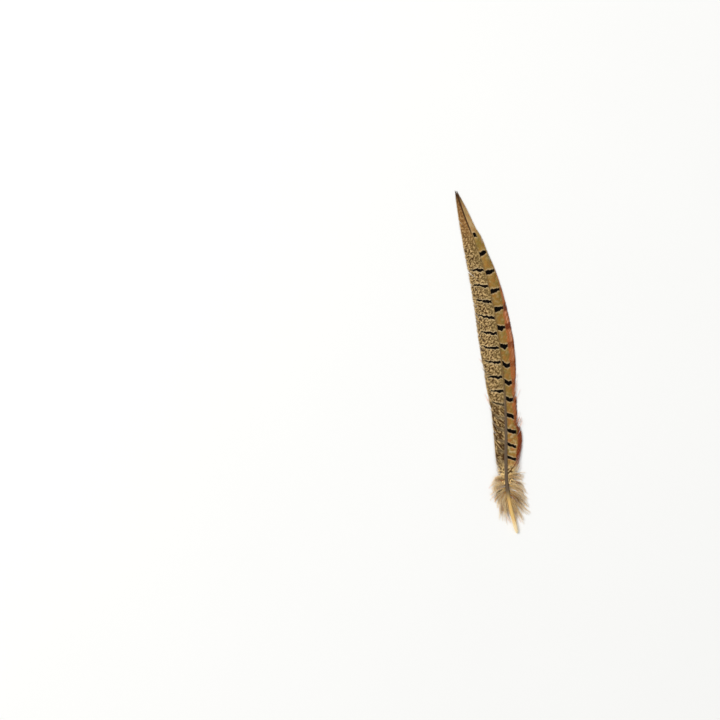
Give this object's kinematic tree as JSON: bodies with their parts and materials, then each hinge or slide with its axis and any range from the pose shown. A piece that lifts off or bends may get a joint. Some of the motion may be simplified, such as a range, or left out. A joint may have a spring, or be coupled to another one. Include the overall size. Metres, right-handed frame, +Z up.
{
  "type": "pheasant tail feather",
  "caption": "Long curved barred tail feather with a bare quill, a tuft of down at its foot and a vane on each side of its shaft, lying flat.",
  "frame": {"origin": "on the surface the feather lies on, under the middle of its length and width", "axes": "+Y from the quill to the tip, +X to the outer vane, +Z up from the surface to the upper side"},
  "size_m": [0.047, 0.3192, 0.0065],
  "materials": {
    "vane": "matte",
    "quill": "satin",
    "down": "matte"
  },
  "bodies": {
    "root": {"feather": "vane"}
  },
  "joints": []
}
